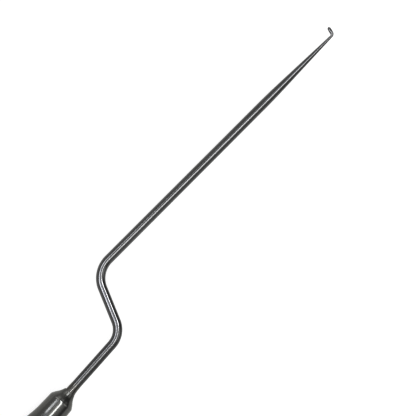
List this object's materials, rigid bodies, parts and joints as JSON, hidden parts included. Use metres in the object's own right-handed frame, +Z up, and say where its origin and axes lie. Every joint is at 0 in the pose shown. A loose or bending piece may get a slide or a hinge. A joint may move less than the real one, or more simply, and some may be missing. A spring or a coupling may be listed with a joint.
{
  "type": "bayonet micro hook",
  "caption": "Slim steel hand instrument: a bayonet-bent rod ground down to a small blunt hook, brazed into a hollow round handle.",
  "frame": {"origin": "middle of the bottom of the box round the tool as it lies at rest on a table: handle on its side, second bend of the rod touching the table", "axes": "+X along the handle's axis towards the hook, +Z up, and the rod steps out towards +Y"},
  "size_m": [0.2402, 0.0222, 0.01],
  "materials": {
    "rod_steel": "satin, finely cross-brushed stainless steel",
    "turned_steel": "satin stainless steel with fine turning lines",
    "grip_steel": "satin stainless steel with a fine diamond knurl",
    "weld_steel": "weld metal dressed flush",
    "braze": "satin pale silver braze"
  },
  "bodies": {
    "root": {"hook_rod": "rod_steel", "braze_fillet": "braze", "nose_ferrule": "turned_steel", "front_weld_ring": "weld_steel", "grip_barrel": "grip_steel", "rear_weld_ring": "weld_steel", "end_cap": "turned_steel"}
  },
  "joints": []
}
